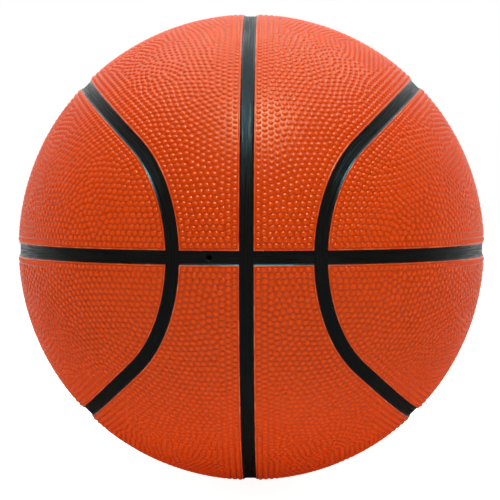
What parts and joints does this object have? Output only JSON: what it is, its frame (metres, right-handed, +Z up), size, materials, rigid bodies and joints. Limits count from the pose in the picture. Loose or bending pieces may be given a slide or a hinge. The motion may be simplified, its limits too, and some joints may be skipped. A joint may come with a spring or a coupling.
{
  "type": "basketball",
  "caption": "Round inflated ball covered with pebbled rubber panels, with recessed dark channels between them and a needle valve, for bouncing, passing and throwing.",
  "frame": {"origin": "centre of the ball", "axes": "+Z up, the front crossing of the straight channels faces -Y, the curved channels ring the X axis"},
  "size_m": [0.2398, 0.2398, 0.2398],
  "materials": {
    "cover_rubber": "pebbled",
    "channel_rubber": "satin",
    "carcass_rubber": "matte",
    "winding_thread": "matte",
    "bladder_rubber": "satin",
    "valve_rubber": "matte"
  },
  "bodies": {
    "root": {"centre_panel_upper_left": "cover_rubber", "centre_panel_upper_right": "cover_rubber", "centre_panel_lower_left": "cover_rubber", "centre_panel_lower_right": "cover_rubber", "side_panel_upper_left": "cover_rubber", "side_panel_upper_right": "cover_rubber", "side_panel_lower_left": "cover_rubber", "side_panel_lower_right": "cover_rubber", "meridian_channel": "channel_rubber", "curved_channel_left": "channel_rubber", "curved_channel_right": "channel_rubber", "equator_channel_front_left": "channel_rubber", "equator_channel_left": "channel_rubber", "equator_channel_back_left": "channel_rubber", "equator_channel_front_right": "channel_rubber", "equator_channel_right": "channel_rubber", "equator_channel_back_right": "channel_rubber", "carcass": "carcass_rubber", "thread_winding": "winding_thread", "bladder": "bladder_rubber", "valve_housing": "valve_rubber", "valve_plug": "valve_rubber"}
  },
  "joints": []
}
